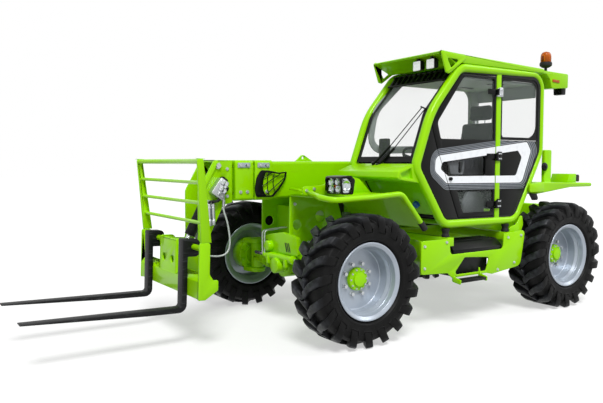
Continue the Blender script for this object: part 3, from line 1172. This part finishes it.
class DRESS_OT_cab_inside(bpy.types.Operator):
    """Furnish the cab: stuffed seat, pedestal, speakers, pedals, levers and door pull"""

    bl_idname = "dress.cab_inside"
    bl_label = "Cab inside"

    # The pads: rounding and grain of the block, then pressure, stiffness and frames of the cloth and how far a point
    # may move, and the filling
    PAD_ROUND, PAD_GRAIN = 0.022, 0.008
    PRESSURE, STIFFNESS, FRAMES, SWELL = 4.0, 40, 20, 0.01
    FILL = 0.7

    def execute(self, context):
        base = bmesh.new()
        for k in range(4):
            grow = 0.012 * (k % 2)
            block(base, (-1.91 - grow, 0.42 - grow, 1.19 + k * 0.038),
                  (-1.58 + grow, 0.7 + grow, 1.19 + (k + 1) * 0.038))
        for k in range(4):
            block(base, (-1.5, 0.74, 1.09 + k * 0.05), (-1.4, 0.8, 1.115 + k * 0.05))
        block(base, (-1.5, 0.7, 1.031), (-1.4, 0.745, 1.29))
        piece("seat_base", base, "black", "chassis", ("seat",), edge=0.006)
        self.cushion("seat_cushion", [(-1.49, 1.352, 0.04), (-1.49, 1.432, 0.04), (-1.95, 1.43, 0.03),
                                      (-1.95, 1.335, 0.03)], 0.34, 0.78)
        self.cushion("seat_back", [(-1.865, 1.435, 0.03), (-1.985, 1.985, 0.045), (-2.07, 1.985, 0.045),
                                   (-1.97, 1.435, 0.03)], 0.35, 0.77)
        self.cushion("head_rest", [(-1.993, 2.01, 0.02), (-2.003, 2.165, 0.035), (-2.078, 2.165, 0.035),
                                   (-2.073, 2.01, 0.02)], 0.43, 0.69)
        posts = bmesh.new()
        for y in (0.5, 0.62):
            tube(posts, [at(-2.03, y, 1.95), at(-2.035, y, 2.03)], 0.007, 12)
        piece("head_rest_posts", posts, "chrome", "chassis")
        dark = bmesh.new()
        for x, y in ((-1.95, 0.42), (-1.95, 0.82)):
            slab(dark, oblong(x - 0.09, y - 0.05, x + 0.09, y + 0.05, 0.03), 2.352, 2.361, "z")
        tube(dark, bent([(-1.45, 0.26, 1.45, 0), (-1.46, 0.27, 1.6, 0.05), (-1.47, 0.29, 1.66, 0)]), 0.012, 12)
        turned(dark, [(0.012, 0.0), (0.026, 0.02), (0.026, 0.07), (0.0, 0.085)], at(-1.47, 0.29, 1.645),
               (-0.06, 0.1, 1), 20)
        for y in (0.42, 0.62):
            block(dark, (-1.02, y, 1.045), (-0.98, y + 0.07, 1.13))
        slab(dark, oblong(0.22, 1.6, 0.36, 1.8, 0.02), -0.93, -0.9, "x")
        tube(dark, [at(-0.92, 0.29, 1.45), at(-0.915, 0.29, 1.62)], 0.014, 12)
        piece("cab_controls", dark, "black", "chassis", edge=0.003)
        pale = bmesh.new()
        turned(pale, [(0.15, 0.0), (0.172, 0.015), (0.188, 0.1), (0.192, 0.135), (0.185, 0.15), (0.15, 0.16)],
               at(-1.745, 0.56, 1.031), UP, 48)
        slab(pale, [(-1.55, 1.031), (-1.86, 1.031), (-1.86, 1.17, 0.03), (-1.8, 1.26, 0.03), (-1.62, 1.26, 0.03),
                    (-1.55, 1.15, 0.03)], 0.735, 0.775)
        slab(pale, [(-1.41, 1.435, 0.02), (-1.8, 1.435, 0.02), (-1.8, 1.638, 0.03), (-1.41, 1.615, 0.04)],
             0.85, 0.895)
        for k in range(7):
            block(pale, (-1.45 - k * 0.048, 0.893, 1.5), (-1.438 - k * 0.048, 0.902, 1.61))
        pull = cut(slab(bmesh.new(), [(-1.097, 1.559, 0.02), (-1.319, 1.59, 0.02), (-1.304, 1.442, 0.02),
                                      (-1.133, 1.444, 0.02)], 0.972, 0.994),
                   slab(bmesh.new(), [(-1.235, 1.565, 0.015), (-1.298, 1.573, 0.01), (-1.288, 1.458, 0.01),
                                      (-1.232, 1.458, 0.015)], 0.96, 1.0))
        piece("floor_mouldings", pale, "pale", "chassis", edge=0.004)
        sight = [(-0.86, 1.72, 0.1), (-0.925, 2.06, 0.3), (-1.28, 2.372, 0.14), (-2.285, 2.372, 0.13),
                 (-2.285, 1.75, 0.13)]
        lining = cut(slab(bmesh.new(), inset(sight, -0.075), 0.157, 0.172), slab(bmesh.new(), sight, 0.1, 0.2))
        piece("far_window_lining", lining, "lining", "chassis", edge=0.004)
        piece("door_pull", pull, "pale", "door", edge=0.004)
        return {"FINISHED"}

    def cushion(self, name, outline, low, high):
        """A stuffed pad, swollen by air pressure from a rounded block."""
        bm = slab(bmesh.new(), outline, low, high)
        bmesh.ops.recalc_face_normals(bm, faces=bm.faces)
        bm = applied(bm, "BEVEL", width=self.PAD_ROUND, segments=3, limit_method="ANGLE", angle_limit=radians(50))
        bm = applied(bm, "REMESH", mode="VOXEL", voxel_size=self.PAD_GRAIN)
        bm = self.swollen(bm)
        bm = applied(bm, "SUBSURF", levels=1, render_levels=1)
        piece(name, bm, "cloth", "chassis", angle=80)

    def swollen(self, bm):
        """The pad after some frames of pressure, with no point far from its start."""
        start = [vert.co.copy() for vert in bm.verts]
        obj = work_object(bm)
        cloth = obj.modifiers.new("cloth", "CLOTH")
        cloth.settings.use_pressure = True
        cloth.settings.uniform_pressure_force = self.PRESSURE
        cloth.settings.effector_weights.gravity = 0.0
        cloth.settings.tension_stiffness = self.STIFFNESS
        scene = bpy.context.scene
        for frame_number in range(1, self.FRAMES + 1):
            scene.frame_set(frame_number)
        made = evaluated(obj)
        scene.frame_set(1)
        made.verts.ensure_lookup_table()
        for vert, place in zip(made.verts, start):
            move = vert.co - place
            if move.length > self.SWELL:
                vert.co = place + move.normalized() * self.SWELL
        return made


class DRESS_OT_small_fittings(bpy.types.Operator):
    """Fit the rubber mounts, the washer's cap, the latch plate, the dark parts behind the cab and the side marker"""

    bl_idname = "dress.small_fittings"
    bl_label = "Small fittings"

    def execute(self, context):
        mounts = bmesh.new()
        for x in (-1.05, -1.905):
            for y in CAB_SIDES:
                turned(mounts, [(0.03, 0.0), (0.038, 0.003), (0.038, 0.02), (0.031, 0.032), (0.031, 0.05),
                                (0.038, 0.062), (0.038, 0.081), (0.03, 0.0835)], at(x, y, 0.856), UP, 32)
        piece("cab_mount_rubbers", mounts, "rubber", "chassis", ("cab_mounts",))
        cap = turned(bmesh.new(), [(0.032, 0.0), (0.034, 0.004), (0.034, 0.03), (0.028, 0.038), (0.0, 0.038)],
                     at(-0.925, 0.76, 1.165), (0.83, 0, -0.55), 28)
        piece("washer_cap", cap, "blue", "chassis")
        plate = slab(bmesh.new(), [(-2.36, 1.16, 0.02), (-2.3, 1.236, 0.01), (-2.42, 1.236, 0.03),
                                   (-2.46, 1.16, 0.02)], 0.985, 1.0)
        turned(plate, [(0.04, 0.0), (0.046, 0.004), (0.046, 0.018), (0.036, 0.026), (0.018, 0.028), (0.018, 0.034),
                       (0.0, 0.036)], at(-2.705, 0.875, 1.51), OUT, 28)
        slab(plate, [(-2.805, 2.29, 0.012), (-2.875, 2.29, 0.012), (-2.878, 2.361), (-2.8, 2.361)], 0.905, 1.005)
        piece("latch_plate", plate, "black", "chassis", edge=0.003)
        side_lamp = slab(bmesh.new(), [(-2.6, 2.408, 0.008), (-2.72, 2.404, 0.008), (-2.72, 2.432, 0.008),
                                       (-2.6, 2.436, 0.008)], 1.0295, 1.038)
        piece("side_marker", side_lamp, "amber", "chassis", edge=0.003)
        return {"FINISHED"}


class DRESS_OT_camera(bpy.types.Operator):
    """Place the camera where the photograph was taken"""

    bl_idname = "dress.camera"
    bl_label = "Camera"

    SENSOR = 36.0

    def execute(self, context):
        view = context.scene.dress_view
        look = Vector((-sin(view.turn) * cos(view.dip), -cos(view.turn) * cos(view.dip), -sin(view.dip)))
        data = bpy.data.cameras.new("photo_camera")
        data.sensor_width = self.SENSOR
        data.lens = view.lens
        camera = bpy.data.objects.new("photo_camera", data)
        camera.location = at(*view.place)
        camera.rotation_euler = look.to_track_quat("-Z", "Y").to_euler()
        context.scene.collection.objects.link(camera)
        context.scene.camera = camera
        return {"FINISHED"}


def seen(tree):
    """1 for a ray from the camera, off a gloss or through glass."""
    path = tree.nodes.new("ShaderNodeLightPath").outputs
    gloss = add(tree, MATH, {"operation": "MAXIMUM"}, i0=path["Is Camera Ray"], i1=path["Is Glossy Ray"])
    return add(tree, MATH, {"operation": "MAXIMUM"}, i0=gloss, i1=path["Is Transmission Ray"])


def pale_floor(tree, place):
    """Painted studio floor: matt light grey, with a glow that only the camera sees, so that it fades to white."""
    level = add(tree, RANGE, Value=seen(tree), To_Min=0.0, To_Max=bpy.context.scene.dress_stage.glow)
    matt = add(tree, "ShaderNodeBsdfDiffuse", Color=linear("#B8B8B8"))
    return add(tree, "ShaderNodeAddShader", i0=matt, i1=add(tree, "ShaderNodeEmission", Strength=level))


class DRESS_OT_stage(bpy.types.Operator):
    """Make the pale floor, the white surround and the soft lights"""

    bl_idname = "dress.stage"
    bl_label = "Stage"

    # Each sun: its name, its turn and rise in degrees, its power and its spread in degrees
    SUNS = (("key", 62, 52, 2.9, 20), ("fill", 150, 35, 0.7, 24))

    def execute(self, context):
        context.scene.view_settings.view_transform = "Standard"
        self.surround(context)
        self.floor(context)
        for name, turn, rise, power, spread in self.SUNS:
            data = bpy.data.lights.new(name, "SUN")
            data.energy = power
            data.angle = radians(spread)
            lamp = bpy.data.objects.new(name, data)
            turn, rise = radians(turn), radians(rise)
            aim = Vector((cos(turn) * cos(rise), sin(turn) * cos(rise), sin(rise)))
            lamp.rotation_euler = aim.to_track_quat("Z", "Y").to_euler()
            context.scene.collection.objects.link(lamp)
        return {"FINISHED"}

    def surround(self, context):
        """White where it is seen, and dimmer as a light."""
        world = bpy.data.worlds.new("studio_surround")
        context.scene.world = world
        world.use_nodes = True
        tree = world.node_tree
        tree.nodes.clear()
        level = add(tree, RANGE, Value=seen(tree), To_Min=context.scene.dress_stage.ambient, To_Max=1.0)
        white = add(tree, "ShaderNodeBackground", Color=(1, 1, 1, 1), Strength=level)
        add(tree, "ShaderNodeOutputWorld", Surface=white)

    def floor(self, context):
        """A wide plane under the machine."""
        bm = bmesh.new()
        bmesh.ops.create_grid(bm, x_segments=4, y_segments=4, size=context.scene.dress_stage.floor)
        mesh = bpy.data.meshes.new("floor")
        bm.to_mesh(mesh)
        bm.free()
        mesh.materials.append(made_by(pale_floor))
        floor = bpy.data.objects.new("floor", mesh)
        context.scene.collection.objects.link(floor)


class DressView(bpy.types.PropertyGroup):
    """Where the photograph was taken"""

    place: bpy.props.FloatVectorProperty(
        name="Place", description="Camera's place from the front axle", default=(3.409, 5.251, 1.567),
        subtype="TRANSLATION",
    )
    turn: bpy.props.FloatProperty(
        name="Turn", description="Turn of the view from straight across the machine", default=radians(33.713),
        subtype="ANGLE",
    )
    dip: bpy.props.FloatProperty(
        name="Dip", description="How far the view looks down", default=radians(3.571), subtype="ANGLE",
    )
    lens: bpy.props.FloatProperty(
        name="Lens", description="Focal length in millimetres on a 36 mm sensor", default=38.22,
    )


class DressStage(bpy.types.PropertyGroup):
    """Levels of the studio"""

    ambient: bpy.props.FloatProperty(
        name="Ambient", description="Strength of the white surround as a light", default=0.42, subtype="FACTOR",
    )
    glow: bpy.props.FloatProperty(
        name="Glow", description="Strength of the floor's own light in the picture", default=0.5, subtype="FACTOR",
    )
    floor: bpy.props.FloatProperty(
        name="Floor", description="Half the floor's width", default=60.0, unit="LENGTH",
    )


class DRESS_PT_panel(bpy.types.Panel):
    """Lists the settings, and the pieces in the order in which they are made"""

    bl_idname = "DRESS_PT_panel"
    bl_label = "Telehandler"
    bl_space_type = "VIEW_3D"
    bl_region_type = "UI"
    bl_category = "Telehandler"

    def draw(self, context):
        for name, group in GROUPS.items():
            for setting in group.__annotations__:
                self.layout.prop(getattr(context.scene, name), setting)
        for operator in OPERATORS:
            self.layout.operator(operator.bl_idname)


OPERATORS = (
    DRESS_OT_camera, DRESS_OT_hose, DRESS_OT_stage, DRESS_OT_plates, DRESS_OT_cab_frame, DRESS_OT_fenders,
    DRESS_OT_band, DRESS_OT_glazing, DRESS_OT_lamps, DRESS_OT_wheels, DRESS_OT_boom_fittings, DRESS_OT_axle_gear,
    DRESS_OT_cab_inside, DRESS_OT_small_fittings,
)
GROUPS = {"dress_view": DressView, "dress_stage": DressStage}
CLASSES = (*GROUPS.values(), *OPERATORS, DRESS_PT_panel)


def register():
    """Make the settings, operators and panel known to Blender."""
    for cls in CLASSES:
        bpy.utils.register_class(cls)
    for name, group in GROUPS.items():
        setattr(bpy.types.Scene, name, bpy.props.PointerProperty(type=group))


def unregister():
    """Take them away again."""
    for name in GROUPS:
        delattr(bpy.types.Scene, name)
    for cls in reversed(CLASSES):
        bpy.utils.unregister_class(cls)


def main():
    """Make all the pieces in order."""
    register()
    for operator in OPERATORS:
        group, name = operator.bl_idname.split(".")
        getattr(getattr(bpy.ops, group), name)()


if __name__ == "__main__":
    main()
